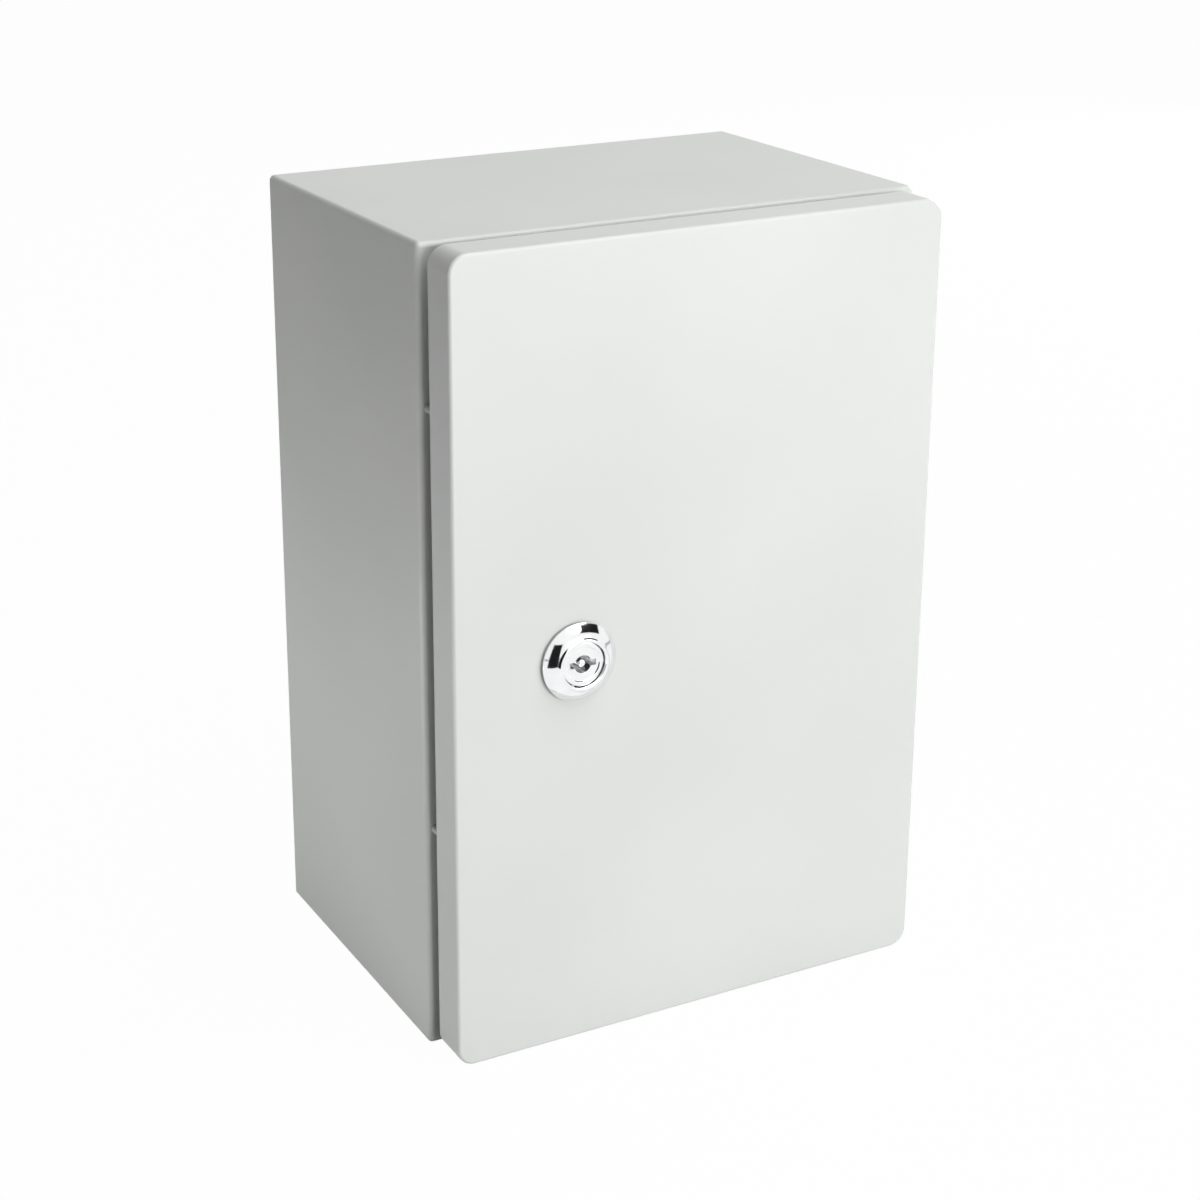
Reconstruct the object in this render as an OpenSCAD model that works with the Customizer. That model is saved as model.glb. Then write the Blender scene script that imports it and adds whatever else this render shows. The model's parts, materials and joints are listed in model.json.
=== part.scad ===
// Steel wall enclosure: folded body, surface-mounted door, concealed hinges, cam lock.
// Millimetres. +Z up, the wall is the plane y = 0, the door faces -Y.
// The origin is the centre of the back face.

/* [Enclosure] */
// Width of the body
enclosure_w = 200; // [180:5:400]
// Height of the body
enclosure_h = 300; // [280:5:600]
// Depth from the wall to the door's front face
enclosure_d = 150; // [120:5:300]
// Thickness of the body and door sheet
sheet_t = 1.2; // [1:0.1:1.5]
// Outside radius of the body's folds
body_fold_r = 2; // [1.8:0.1:3]
// Width of the front return, from the body's side to the lip
return_w = 22; // [21:0.5:26]
// Corner radius of the forward lip
lip_corner_r = 5; // [4:0.5:9]

/* [Rear wall] */
// Thickness of the rear panel
rear_t = 1.5; // [1.2:0.1:2.5]
// Wall-hole centre in from the body's side, top and bottom
wall_hole_inset = 20; // [18:1:24]
// Diameter of the wall holes
wall_hole_d = 8.5; // [6.5:0.5:10.5]
// Middle diameter of the stiffening bead pressed round each wall hole
wall_bead_d = 19; // [18:0.5:22]
// Width of the bead at its foot
wall_bead_w = 6; // [5.5:0.25:6.5]
// Height of the bead
wall_bead_h = 1; // [0.6:0.1:1.4]

/* [Door] */
// Gap between the door's side and the body's side
door_side_inset = 2; // [1:0.25:3]
// Gap between the door's end and the body's top or bottom
door_end_inset = 0.5; // [0.25:0.25:3]
// Depth of the door with its turned-back flange
door_flange_d = 16; // [15:0.5:17]
// Open gap between the body's front and the door's flange
door_gap = 4.5; // [4:0.25:6]
// Outside radius of the door's front fold
door_fold_r = 2; // [1.8:0.1:3.2]
// Radius of the door's corners, seen from the front
door_corner_r = 7; // [5:0.5:12]
// Width of the foam gasket
gasket_w = 8; // [6:0.5:9]
// Height of the rubber buffers' heads above the front return
buffer_d = 3; // [2:0.25:3.5]

/* [Hinges] */
// Hinge axis in from the body's side
hinge_axis_inset = 7.2; // [7.1:0.05:7.4]
// Hinge axis behind the door's front face
hinge_axis_depth = 10; // [9.5:0.1:10.5]
// Middle of each hinge in from the body's top or bottom
hinge_inset = 55; // [50:1:80]
// Diameter of the hinge pin
pin_d = 4; // [3.5:0.1:4.2]
// Radial clearance of the pin in its knuckles
pin_clear = 0.05; // [0.02:0.01:0.1]
// Outside diameter of the knuckles
knuckle_d = 6.8; // [6.4:0.1:7]
// Height of the fixed arm and its knuckle
arm_h = 14; // [10:1:20]
// Height of each ear of the door leaf
ear_h = 5; // [4:0.5:8]
// Thickness of the hinge plates
hinge_t = 2; // [1.6:0.1:2.2]

/* [Lock] */
// Lock centre in from the door's free edge
lock_inset = 48; // [44:1:60]
// Height of the lock above the middle of the door
lock_z = 0; // [-40:5:40]
// Outside diameter of the lock's bezel
bezel_d = 29; // [27:0.5:32]
// Diameter of the bezel's front rim
bezel_rim_d = 19; // [18.5:0.25:20]
// Height of the bezel
bezel_h = 4.5; // [3.5:0.25:6]
// Diameter of the lock's barrel
barrel_d = 22; // [21:0.5:23]
// Width over the barrel's two flats
barrel_flats = 20; // [19:0.25:20.5]
// Diameter of the turning core
core_d = 14; // [13:0.25:14.5]
// Width of the lock nut over its flats
lock_nut_af = 27; // [26:0.5:30]
// Thickness of the lock nut
lock_nut_t = 5; // [4:0.5:6]
// Thickness of the cam
cam_t = 3; // [2:0.25:3.5]
// Width of the cam
cam_w = 16; // [14:0.5:18]
// How far the latched cam reaches under the front return
cam_catch = 11; // [8:0.5:16]

/* [Mounting plate] */
// Thickness of the mounting plate
plate_t = 2; // [1.5:0.25:3]
// Gap between the mounting plate's edge and the body's side
plate_inset = 25; // [24:1:30]
// Height of the mounting plate above the rear panel
plate_standoff = 12; // [8:1:20]
// Cut-off corner that keeps the wall bolt in reach
plate_corner = 15; // [12:1:20]

/* [Gland plate] */
// Width of the gland plate
gland_w = 140; // [110:5:146]
// Depth of the gland plate, front to back
gland_d = 80; // [60:5:84]
// Thickness of the gland plate
gland_t = 1.5; // [1.2:0.1:2.5]
// Thickness of the gland plate's gasket
gland_seal_t = 3; // [2:0.5:4]
// Width of the body's rim under the gland plate
gland_rim = 14; // [13:1:18]

/* [Fasteners] */
// Diameter of the mounting plate's studs
plate_stud_d = 8; // [6:1:8]
// Diameter of the gland plate's studs
gland_stud_d = 5; // [4:1:6]
// Diameter of the earth studs
earth_stud_d = 8; // [6:1:8]
// Diameter of the hinge and cam screws
screw_d = 4; // [3.5:0.5:4.5]

/* [Hidden] */

// Common clearances
bolt_clear = 0.25;   // radial, screw or stud in its hole
fit_clear = 0.05;    // radial, nut or washer on its thread
soft_clear = 0.3;    // seal to the part that presses it
eps = 0.02;          // overrun of a cut past the face it opens
overrun = 1;         // the same where a long sheet is cut through

// Body
body_d = enclosure_d - door_flange_d - door_gap;
body_inner_y = -(body_d - sheet_t);
lip_x = enclosure_w / 2 - return_w;
lip_z = enclosure_h / 2 - return_w;
gasket_t = 7.2;
gasket_r = 2.5;
door_inner_y = -(enclosure_d - sheet_t);
lip_front_y = door_inner_y + gasket_t + soft_clear;
wall_hole_x = enclosure_w / 2 - wall_hole_inset;
wall_hole_z = enclosure_h / 2 - wall_hole_inset;

// Door
door_w = enclosure_w - 2 * door_side_inset;
door_h = enclosure_h - 2 * door_end_inset;
door_back_y = -(enclosure_d - door_flange_d);
buffer_z = [93, -63];
buffer_inset = 3.6;
buffer_hole_d = 2;
buffer_barb_t = 1;

// Hinges
axis_x = enclosure_w / 2 - hinge_axis_inset;
axis_y = -(enclosure_d - hinge_axis_depth);
pin_bore_d = pin_d + 2 * pin_clear;
hinge_z = enclosure_h / 2 - hinge_inset;
arm_reach = 9.6;
arm_bend_r = 3.6;
arm_base_edge = lip_x + soft_clear;
arm_base_end = axis_x - 4.8;
arm_foot_h = 12;
arm_base_h = arm_h + 2 * arm_foot_h;
arm_screw_x = (arm_base_edge + arm_base_end) / 2;
arm_screw_edge = 5;
arm_screw_dz = arm_base_h / 2 - arm_screw_edge;
arm_front_y = -(body_d + hinge_t);
screw_head_d = 1.75 * screw_d;
screw_head_t = 2.2;
screw_socket_d = 0.6 * screw_d;
screw_socket_h = 1.2;
screw_nut_af = 1.75 * screw_d;
screw_nut_t = 0.8 * screw_d;
screw_len = hinge_t + sheet_t + screw_nut_t + 2;
leaf_t = 1.5;
leaf_edge_x = enclosure_w / 2 - door_side_inset - door_fold_r - fit_clear;
leaf_w = 10.5;
ear_gap = 0.2;
leaf_h = arm_h + 2 * (ear_gap + ear_h);
pin_head_d = 6;
pin_head_t = 1.5;
pin_tail = 1;

// Lock
lock_x = -(door_w / 2 - lock_inset);
seal_t = 0.8;
bezel_back_y = -(enclosure_d + seal_t);
bezel_front_y = bezel_back_y - bezel_h;
core_bore_d = core_d + 2 * pin_clear;
core_head_d = core_d + 2.4;
core_head_t = 2.6;
core_recess = 1.2;
core_face_y = bezel_front_y + core_recess;
cam_front_y = body_inner_y + 0.5;
cam_back_y = cam_front_y + cam_t;
barrel_end_y = cam_front_y - ear_gap;
cam_square = 8;
cam_washer_t = 1.2;
cam_head_t = 3;
cam_screw_grip = 4.8;
cam_hub_d = 20;
cam_reach = lip_x + cam_catch + lock_x;
key_pin_d = 3;
key_socket_d = 6.6;
key_wing_w = 2.2;
key_wing_span = 10.4;
key_depth = 11;

// Mounting plate
plate_w = enclosure_w - 2 * plate_inset;
plate_h = enclosure_h - 2 * plate_inset;
plate_back_y = -(rear_t + plate_standoff);
plate_front_y = plate_back_y - plate_t;
plate_stud_x = plate_w / 2 - plate_corner;
plate_stud_z = plate_h / 2 - plate_corner - 3;
plate_washer_t = 1.6;
plate_nut_af = 1.625 * plate_stud_d;
plate_nut_t = 0.8 * plate_stud_d;
plate_stud_tip = 4;

// Gland plate
gland_floor_z = -(enclosure_h / 2 - sheet_t);
gland_y = (body_inner_y - rear_t) / 2;
gland_stud_x = gland_w / 2 - gland_rim / 2;
gland_stud_dy = gland_d / 2 - gland_rim / 2;
gland_nut_af = 1.6 * gland_stud_d;
gland_nut_t = 0.8 * gland_stud_d;
gland_corner_r = 5;
gland_top_z = gland_floor_z + gland_seal_t + gland_t;
gland_stud_tip = 3;

// Earthing points
earth_y = body_inner_y / 2;
earth_inset = 40;
earth_z = -(enclosure_h / 2 - earth_inset);
earth_len = 18;
earth_washer_t = 1.6;
earth_nut_af = 1.625 * earth_stud_d;
earth_nut_t = 0.8 * earth_stud_d;
door_earth_d = 6;
door_earth_inset = 18;
door_earth_x = lip_x - door_earth_inset;
door_earth_z = -(lip_z - door_earth_inset);
door_earth_len = 14;
door_earth_af = 10;
door_earth_nut_t = 5;
earth_lug_gap = 1.5;

curve_fn = 64;
hull_fn = 32;

// A flat rounded rectangle centred on the origin
module rounded_rect(w, h, r) {
    square([w - 2 * r, h], center = true);
    square([w, h - 2 * r], center = true);
    for (sx = [-1, 1], sy = [-1, 1])
        translate([sx * (w / 2 - r), sy * (h / 2 - r)]) circle(r = r, $fn = curve_fn);
}

// An upright x-z outline given depth towards -Y, starting at y
module slab(y, depth) {
    translate([0, y, 0]) rotate([90, 0, 0]) linear_extrude(height = depth) children();
}

// A rod from (x, y, z) towards -Y
module rod(x, y, z, d, len) {
    translate([x, y, z]) rotate([90, 0, 0]) cylinder(d = d, h = len, $fn = curve_fn);
}

// A washer round a -Y axis, its back face at y
module ring(x, y, z, outer_d, inner_d, t) {
    difference() {
        rod(x, y, z, outer_d, t);
        rod(x, y + eps, z, inner_d, t + 2 * eps);
    }
}

// A hexagon blank from the ground up, its corners turned down to a 30 degree cone at both ends
module hex_blank(af, t) {
    across_corners = af / cos(30);
    cone_h = (across_corners - af) / 2 * tan(30);
    intersection() {
        cylinder(d = across_corners, h = t, $fn = 6);
        rotate_extrude($fn = curve_fn)
            polygon([[0, 0], [af / 2, 0], [across_corners / 2, cone_h],
                [across_corners / 2, t - cone_h], [af / 2, t], [0, t]]);
    }
}

// A hexagon nut with a -Y axis, its back face at y
module hex_nut(x, y, z, af, bore_d, t) {
    difference() {
        translate([x, y, z]) rotate([90, 0, 0]) hex_blank(af, t);
        rod(x, y + eps, z, bore_d, t + 2 * eps);
    }
}

// A stud's shank from the ground up, with a 45 degree chamfer at its tip
module stud_shank(d, len) {
    chamfer = 0.1 * d;
    rotate_extrude($fn = curve_fn)
        polygon([[0, 0], [d / 2, 0], [d / 2, len - chamfer], [d / 2 - chamfer, len], [0, len]]);
}

// A stud from (x, y, z) towards -Y
module stud(x, y, z, d, len) {
    translate([x, y, z]) rotate([90, 0, 0]) stud_shank(d, len);
}

// A tray-shaped skin: square at y_back, its front edge rounded by fold_r, corners by corner_r
module folded_block(w, h, corner_r, fold_r, y_back, y_front) {
    depth = y_back - y_front;
    hull() for (sx = [-1, 1], sz = [-1, 1])
        translate([sx * (w / 2 - corner_r), y_back, sz * (h / 2 - corner_r)])
            rotate([90, 0, 0]) rotate_extrude($fn = hull_fn) {
                square([corner_r, depth - fold_r]);
                square([corner_r - fold_r + eps, depth]);
                translate([corner_r - fold_r, depth - fold_r])
                    intersection() {
                        circle(r = fold_r, $fn = hull_fn);
                        square([fold_r, fold_r]);
                    }
            }
}

// The four mirrored places (x, z) of a rectangular pattern
module four_places(x, z) {
    for (sx = [-1, 1], sz = [-1, 1]) translate([sx * x, 0, sz * z]) children();
}

// Body: folded sides, front return and forward lip, all one sheet
module body_wrap() {
    color("gainsboro") difference() {
        union() {
            difference() {
                folded_block(enclosure_w, enclosure_h, body_fold_r, body_fold_r, 0, -body_d);
                folded_block(enclosure_w - 2 * sheet_t, enclosure_h - 2 * sheet_t,
                    body_fold_r - sheet_t, body_fold_r - sheet_t, overrun, body_inner_y);
                slab(body_inner_y + overrun, sheet_t + 2 * overrun)
                    rounded_rect(2 * lip_x - sheet_t, 2 * lip_z - sheet_t, lip_corner_r);
            }
            slab(body_inner_y, -lip_front_y + body_inner_y) difference() {
                rounded_rect(2 * lip_x, 2 * lip_z, lip_corner_r);
                rounded_rect(2 * (lip_x - sheet_t), 2 * (lip_z - sheet_t),
                    lip_corner_r - sheet_t);
            }
        }
        for (sz = [-1, 1], side = [-1, 1])
            rod(arm_screw_x, body_inner_y + overrun, sz * hinge_z + side * arm_screw_dz,
                screw_d + 2 * bolt_clear, sheet_t + 2 * overrun);
        for (z = buffer_z)
            rod(-(enclosure_w / 2 - buffer_inset), body_inner_y + overrun, z,
                buffer_hole_d + 2 * fit_clear, sheet_t + 2 * overrun);
        translate([0, gland_y, gland_floor_z - sheet_t - overrun])
            linear_extrude(height = sheet_t + 2 * overrun) gland_opening();
    }
}

// A ring with 45 degree flanks standing towards -Y from y, foot wide at its base
module bead_ring(y, foot, height) {
    translate([0, y, 0]) rotate([90, 0, 0]) rotate_extrude($fn = curve_fn)
        translate([wall_bead_d / 2, 0])
            polygon([[-foot / 2, 0], [foot / 2, 0], [foot / 2 - height, height],
                [height - foot / 2, height]]);
}

// Rear panel: welded into the wrap, with a bead pressed inwards round each wall hole
module rear_panel() {
    w = enclosure_w - 2 * sheet_t;
    h = enclosure_h - 2 * sheet_t;
    groove_w = wall_bead_w - 2 * rear_t * tan(22.5);
    color("gainsboro") difference() {
        union() {
            slab(0, rear_t) rounded_rect(w, h, body_fold_r - sheet_t);
            four_places(wall_hole_x, wall_hole_z)
                bead_ring(-rear_t + eps, wall_bead_w + 2 * eps, wall_bead_h + eps);
        }
        four_places(wall_hole_x, wall_hole_z) {
            bead_ring(eps, groove_w + 2 * eps, wall_bead_h + eps);
            rod(0, overrun, 0, wall_hole_d, rear_t + 2 * overrun);
        }
    }
}

// Mounting plate: galvanised sheet with cut corners and a grid of fixing slots left to the user
module mounting_plate() {
    color("lightsteelblue") difference() {
        slab(plate_back_y, plate_t) difference() {
            square([plate_w, plate_h], center = true);
            for (sx = [-1, 1], sz = [-1, 1])
                translate([sx * plate_w / 2, sz * plate_h / 2]) rotate(45)
                    square(plate_corner * sqrt(2), center = true);
        }
        four_places(plate_stud_x, plate_stud_z)
            rod(0, plate_back_y + overrun, 0, plate_stud_d + 2 * bolt_clear,
                plate_t + 2 * overrun);
    }
}

// Weld studs: the wide shank is the stand-off, the threaded end takes the plate
module plate_studs() {
    reach = plate_t + plate_washer_t + plate_nut_t + plate_stud_tip;
    color("silver") four_places(plate_stud_x, plate_stud_z) {
        rod(0, -rear_t, 0, plate_stud_d + 4, plate_standoff);
        stud(0, plate_back_y + eps, 0, plate_stud_d, reach + eps);
    }
}

module plate_washers() {
    color("silver") four_places(plate_stud_x, plate_stud_z)
        ring(0, plate_front_y, 0, 2 * plate_stud_d, plate_stud_d + 2 * fit_clear,
            plate_washer_t);
}

module plate_nuts() {
    color("silver") four_places(plate_stud_x, plate_stud_z)
        hex_nut(0, plate_front_y - plate_washer_t, 0, plate_nut_af,
            plate_stud_d + 2 * fit_clear, plate_nut_t);
}

// The opening in the body's floor that the gland plate covers
module gland_opening() {
    rounded_rect(gland_w - 2 * gland_rim, gland_d - 2 * gland_rim, gland_corner_r);
}

// The gland plate's outline with its four stud holes
module gland_outline() {
    difference() {
        rounded_rect(gland_w, gland_d, gland_corner_r);
        for (sx = [-1, 1], sy = [-1, 1])
            translate([sx * gland_stud_x, sy * gland_stud_dy])
                circle(d = gland_stud_d + 2 * bolt_clear, $fn = curve_fn);
    }
}

module gland_plate() {
    color("gainsboro") translate([0, gland_y, gland_floor_z + gland_seal_t])
        linear_extrude(height = gland_t) gland_outline();
}

module gland_gasket() {
    color("dimgray") translate([0, gland_y, gland_floor_z])
        linear_extrude(height = gland_seal_t) difference() {
            gland_outline();
            gland_opening();
        }
}

// The four upright places of the gland plate's fixings
module gland_places() {
    for (sx = [-1, 1], sy = [-1, 1])
        translate([sx * gland_stud_x, gland_y + sy * gland_stud_dy, 0]) children();
}

module gland_studs() {
    reach = gland_seal_t + gland_t + gland_nut_t + gland_stud_tip;
    color("silver") gland_places()
        translate([0, 0, gland_floor_z]) stud_shank(gland_stud_d, reach);
}

module gland_nuts() {
    color("silver") gland_places() translate([0, 0, gland_top_z]) difference() {
        hex_blank(gland_nut_af, gland_nut_t);
        translate([0, 0, -eps])
            cylinder(d = gland_stud_d + 2 * fit_clear, h = gland_nut_t + 2 * eps, $fn = curve_fn);
    }
}

// Places a -Y fastener on the inside of the body's left wall, pointing into the body
module on_left_wall() {
    translate([-(enclosure_w / 2 - sheet_t), earth_y, earth_z]) rotate([0, 0, 90]) children();
}

module earth_stud() {
    color("goldenrod") on_left_wall() stud(0, 0, 0, earth_stud_d, earth_len);
}

module earth_washer() {
    color("goldenrod") on_left_wall()
        ring(0, -earth_lug_gap, 0, 2 * earth_stud_d, earth_stud_d + 2 * fit_clear,
            earth_washer_t);
}

module earth_nut() {
    color("goldenrod") on_left_wall()
        hex_nut(0, -earth_lug_gap - earth_washer_t, 0, earth_nut_af,
            earth_stud_d + 2 * fit_clear, earth_nut_t);
}

// Fixed hinge arm: a base under the lip, a goose-neck and a rolled knuckle on the hinge axis
module hinge_arm(z_mid) {
    base_w = arm_base_end - arm_base_edge;
    color("silver") difference() {
        union() {
            translate([arm_base_edge, arm_front_y, z_mid - arm_base_h / 2])
                cube([base_w, hinge_t, arm_base_h]);
            translate([axis_x, axis_y, z_mid - arm_h / 2]) linear_extrude(height = arm_h) {
                bend_y = arm_bend_r + hinge_t / 2 - knuckle_d / 2;
                translate([-arm_reach - hinge_t / 2, bend_y])
                    square([hinge_t, arm_front_y - axis_y - bend_y + hinge_t / 2]);
                translate([arm_bend_r - arm_reach, bend_y]) intersection() {
                    difference() {
                        circle(r = arm_bend_r + hinge_t / 2, $fn = curve_fn);
                        circle(r = arm_bend_r - hinge_t / 2, $fn = curve_fn);
                    }
                    translate([-2 * arm_bend_r, -2 * arm_bend_r]) square(2 * arm_bend_r);
                }
                translate([arm_bend_r - arm_reach, -knuckle_d / 2])
                    square([arm_reach - arm_bend_r, hinge_t]);
                circle(d = knuckle_d, $fn = curve_fn);
            }
        }
        translate([axis_x, axis_y, z_mid - arm_h])
            cylinder(d = pin_bore_d, h = 2 * arm_h, $fn = curve_fn);
        for (side = [-1, 1])
            rod(arm_screw_x, arm_front_y + hinge_t + overrun, z_mid + side * arm_screw_dz,
                screw_d + 2 * bolt_clear, hinge_t + 2 * overrun);
    }
}

module hinge_arm_upper() { hinge_arm(hinge_z); }
module hinge_arm_lower() { hinge_arm(-hinge_z); }

// The four places of the hinge arms' screws
module arm_screw_places() {
    for (sz = [-1, 1], side = [-1, 1])
        translate([arm_screw_x, 0, sz * hinge_z + side * arm_screw_dz]) children();
}

module hinge_arm_screws() {
    color("silver") arm_screw_places() difference() {
        union() {
            rod(0, arm_front_y, 0, screw_head_d, screw_head_t);
            rod(0, arm_front_y + screw_len, 0, screw_d, screw_len + eps);
        }
        translate([0, arm_front_y - screw_head_t + screw_socket_h, 0]) rotate([90, 0, 0])
            cylinder(d = screw_socket_d, h = screw_socket_h + overrun, $fn = 6);
    }
}

module hinge_arm_nuts() {
    color("silver") arm_screw_places()
        hex_nut(0, body_inner_y + screw_nut_t, 0, screw_nut_af, screw_d + 2 * fit_clear,
            screw_nut_t);
}

// Rubber buffers on the lock side of the return, their heads facing the door's flange
module door_buffers() {
    color("gray") for (z = buffer_z) {
        x = -(enclosure_w / 2 - buffer_inset);
        rod(x, -body_d, z, buffer_d, door_gap - soft_clear);
        rod(x, body_inner_y, z, buffer_hole_d, sheet_t + eps);
        rod(x, body_inner_y + buffer_barb_t, z, buffer_d, buffer_barb_t);
    }
}

// Door: one folded sheet with turned-back flanges
module door_panel() {
    color("whitesmoke") difference() {
        folded_block(door_w, door_h, door_corner_r, door_fold_r, door_back_y, -enclosure_d);
        folded_block(door_w - 2 * sheet_t, door_h - 2 * sheet_t, door_corner_r - sheet_t,
            door_fold_r - sheet_t, door_back_y + overrun, door_inner_y);
        slab_at_lock(door_inner_y + overrun, sheet_t + 2 * overrun, barrel_d + 2 * bolt_clear,
            barrel_flats + 2 * bolt_clear);
    }
}

// A round bar with two flats on the lock's axis, from y towards -Y
module slab_at_lock(y, len, d, flats) {
    translate([lock_x, y, lock_z]) rotate([90, 0, 0]) linear_extrude(height = len)
        intersection() {
            circle(d = d, $fn = curve_fn);
            square([flats, 2 * d], center = true);
        }
}

// Section of the gasket: flat foot on the door, rounded back
module gasket_bead() {
    flat = gasket_w / 2 - gasket_r;
    translate([-gasket_w / 2, 0]) square([gasket_w, gasket_t - gasket_r]);
    translate([-flat, 0]) square([2 * flat, gasket_t]);
    for (side = [-1, 1])
        translate([side * flat, gasket_t - gasket_r]) circle(r = gasket_r, $fn = hull_fn);
}

// Foam gasket: one bead run round the door along the lip's line, a quarter at a time
module door_gasket() {
    x = lip_x - sheet_t / 2;
    z = lip_z - sheet_t / 2;
    r = gasket_w;
    color("dimgray") translate([0, door_inner_y, 0])
        for (turn_x = [0, 1], turn_z = [0, 1]) mirror([turn_x, 0, 0]) mirror([0, 0, turn_z]) {
            translate([x, 0, 0]) linear_extrude(height = z - r) gasket_bead();
            translate([x - r, 0, z - r]) rotate([-90, 0, 0])
                rotate_extrude(angle = -90, $fn = curve_fn) translate([r, 0]) gasket_bead();
            translate([0, 0, z]) rotate([90, 0, 90])
                linear_extrude(height = x - r) rotate(90) mirror([0, 1]) gasket_bead();
        }
}

// Door leaf of the hinge: a welded plate with two ears, one above and one below the arm
module hinge_leaf(z_mid) {
    color("silver") difference() {
        union() {
            translate([leaf_edge_x - leaf_w, door_inner_y, z_mid - leaf_h / 2])
                cube([leaf_w, leaf_t, leaf_h]);
            for (side = [-1, 1])
                translate([axis_x, 0, z_mid + side * (arm_h / 2 + ear_gap + ear_h / 2)])
                    linear_extrude(height = ear_h, center = true) {
                        translate([0, axis_y]) circle(d = knuckle_d, $fn = curve_fn);
                        translate([-knuckle_d / 2, door_inner_y + leaf_t / 2])
                            square([knuckle_d / 2 + leaf_edge_x - axis_x,
                                axis_y - door_inner_y - leaf_t / 2]);
                    }
        }
        translate([axis_x, axis_y, z_mid - leaf_h])
            cylinder(d = pin_bore_d, h = 2 * leaf_h, $fn = curve_fn);
    }
}

module hinge_leaf_upper() { hinge_leaf(hinge_z); }
module hinge_leaf_lower() { hinge_leaf(-hinge_z); }

// Hinge pin, dropped in from above, its head on the upper ear, its tip chamfered
module hinge_pin(z_mid) {
    color("silver") translate([axis_x, axis_y, z_mid]) {
        translate([0, 0, leaf_h / 2 + eps]) mirror([0, 0, 1])
            stud_shank(pin_d, leaf_h + pin_tail + eps);
        translate([0, 0, leaf_h / 2]) stud_shank(pin_head_d, pin_head_t);
    }
}

module hinge_pin_upper() { hinge_pin(hinge_z); }
module hinge_pin_lower() { hinge_pin(-hinge_z); }

// Earthing point on the door's inner face, pointing into the body
module door_earth_stud() {
    color("goldenrod") translate([door_earth_x, door_inner_y, door_earth_z])
        rotate([-90, 0, 0]) stud_shank(door_earth_d, door_earth_len);
}

module door_earth_washer() {
    color("goldenrod") ring(door_earth_x, door_inner_y + earth_lug_gap + earth_washer_t,
        door_earth_z, 2 * door_earth_d, door_earth_d + 2 * fit_clear, earth_washer_t);
}

module door_earth_nut() {
    y = door_inner_y + earth_lug_gap + earth_washer_t + door_earth_nut_t;
    color("goldenrod") hex_nut(door_earth_x, y, door_earth_z, door_earth_af,
        door_earth_d + 2 * fit_clear, door_earth_nut_t);
}

// Lock bezel and barrel: a flared round head with a rim, a flatted barrel behind the door
module lock_bezel() {
    rim_t = 1.1;
    color("silver") difference() {
        union() {
            slab_at_lock(barrel_end_y, barrel_end_y - bezel_back_y + eps, barrel_d, barrel_flats);
            translate([lock_x, bezel_back_y, lock_z]) rotate([90, 0, 0])
                rotate_extrude($fn = curve_fn) difference() {
                    polygon([[0, 0], [bezel_d / 2 - 0.3, 0], [bezel_d / 2, 0.3],
                        [bezel_d / 2, 0.9], [bezel_d / 2 - 0.4, 1.3],
                        [bezel_rim_d / 2 + 0.5, bezel_h - 0.3], [bezel_rim_d / 2, bezel_h],
                        [0, bezel_h]]);
                    translate([-overrun, bezel_h - core_recess])
                        square([bezel_rim_d / 2 - rim_t + overrun, core_recess + overrun]);
                }
        }
        rod(lock_x, barrel_end_y + overrun, lock_z, core_bore_d,
            barrel_end_y - bezel_front_y + 2 * overrun);
        rod(lock_x, core_face_y + core_head_t, lock_z, core_head_d + 2 * pin_clear,
            core_head_t + core_recess + overrun);
    }
}

module lock_seal() {
    color("black") ring(lock_x, -enclosure_d, lock_z, bezel_d - 2, barrel_d + 2 * fit_clear,
        seal_t);
}

module lock_nut() {
    color("silver") hex_nut(lock_x, door_inner_y + lock_nut_t, lock_z, lock_nut_af,
        barrel_d + 2 * fit_clear, lock_nut_t);
}

// Turning core: headed plug with a double-bit key socket, square tail for the cam
module lock_core() {
    color("silver") difference() {
        union() {
            rod(lock_x, core_face_y + core_head_t, lock_z, core_head_d, core_head_t);
            rod(lock_x, cam_front_y, lock_z, core_d, cam_front_y - core_face_y - eps);
            translate([lock_x - cam_square / 2, cam_front_y - eps, lock_z - cam_square / 2])
                cube([cam_square, cam_t + eps, cam_square]);
        }
        difference() {
            union() {
                rod(lock_x, core_face_y + key_depth, lock_z, key_socket_d,
                    key_depth + overrun);
                translate([lock_x, core_face_y + key_depth, lock_z]) rotate([90, 0, 0])
                    linear_extrude(height = key_depth + overrun)
                        square([key_wing_span, key_wing_w], center = true);
            }
            rod(lock_x, core_face_y + key_depth + overrun, lock_z, key_pin_d, key_depth + overrun);
        }
        rod(lock_x, cam_back_y + overrun, lock_z, screw_d + 2 * fit_clear,
            cam_t + cam_screw_grip + 2 * overrun);
    }
}

// Cam: hangs down when unlatched, turns under the front return when latched
module lock_cam() {
    color("silver") difference() {
        slab(cam_back_y, cam_t) translate([lock_x, lock_z]) {
            circle(d = cam_hub_d, $fn = curve_fn);
            translate([-cam_w / 2, -(cam_reach - cam_w / 2)]) square([cam_w, cam_reach - cam_w / 2]);
            translate([0, -(cam_reach - cam_w / 2)]) circle(d = cam_w, $fn = curve_fn);
        }
        translate([lock_x, cam_front_y, lock_z]) cube([cam_square + 2 * fit_clear, 3 * cam_t,
            cam_square + 2 * fit_clear], center = true);
        translate([lock_x, cam_back_y, lock_z]) cube([cam_square + 2 * fit_clear, 3 * cam_t,
            cam_square + 2 * fit_clear], center = true);
    }
}

module cam_washer() {
    color("silver") ring(lock_x, cam_back_y + cam_washer_t, lock_z, 3.5 * screw_d,
        screw_d + 2 * fit_clear, cam_washer_t);
}

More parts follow.
